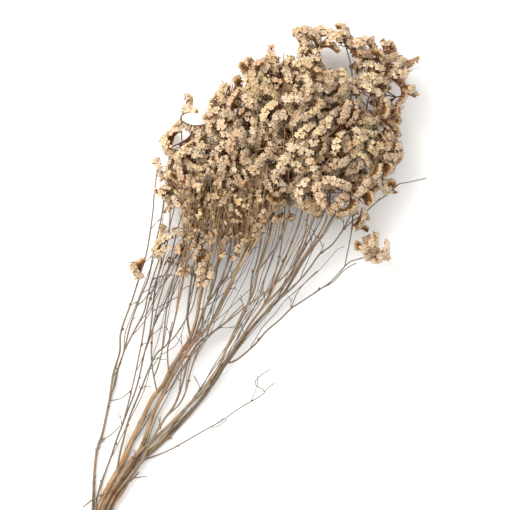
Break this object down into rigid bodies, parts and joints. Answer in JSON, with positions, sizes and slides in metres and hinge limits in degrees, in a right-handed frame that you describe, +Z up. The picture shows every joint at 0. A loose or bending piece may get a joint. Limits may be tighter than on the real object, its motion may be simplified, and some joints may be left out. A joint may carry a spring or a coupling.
{
  "type": "dried statice bunch",
  "caption": "Cut bunch of dried statice lying flat: slender branched brown stems fan out into a broad cloud of short curved spikes of papery cream florets.",
  "frame": {"origin": "on the surface that the bunch lies on, under the middle of its outline", "axes": "+X along the bunch from its cut ends to its flowers, +Z up from the surface"},
  "size_m": [0.5008, 0.2232, 0.0906],
  "materials": {
    "stem": "matte",
    "floret": "matte"
  },
  "bodies": {
    "root": {"stem_1": "stem", "stem_2": "stem", "stem_3": "stem", "stem_4": "stem", "stem_5": "stem", "stem_6": "stem", "stem_7": "stem", "stem_8": "stem", "spray_01": "floret", "spray_02": "floret", "spray_03": "floret", "spray_04": "floret", "spray_05": "floret", "spray_06": "floret", "spray_07": "floret", "spray_08": "floret", "spray_09": "floret", "spray_10": "floret", "spray_11": "floret", "spray_14": "floret", "spray_15": "floret", "spray_16": "floret", "spray_17": "floret", "spray_18": "floret", "spray_19": "floret", "spray_22": "floret", "spray_23": "floret", "spray_24": "floret", "spray_25": "floret", "spray_26": "floret", "spray_27": "floret", "spray_28": "floret", "spray_29": "floret", "spray_30": "floret", "spray_31": "floret", "spray_32": "floret", "spray_33": "floret", "spray_34": "floret", "spray_35": "floret", "spray_36": "floret", "spray_37": "floret", "spray_38": "floret", "spray_39": "floret", "spray_40": "floret", "spray_42": "floret", "spray_43": "floret", "spray_44": "floret", "spray_45": "floret", "spray_46": "floret", "spray_47": "floret", "spray_48": "floret", "spray_49": "floret", "spray_50": "floret", "spray_51": "floret", "spray_52": "floret", "spray_53": "floret", "spray_54": "floret", "spray_55": "floret", "spray_56": "floret"}
  },
  "joints": []
}
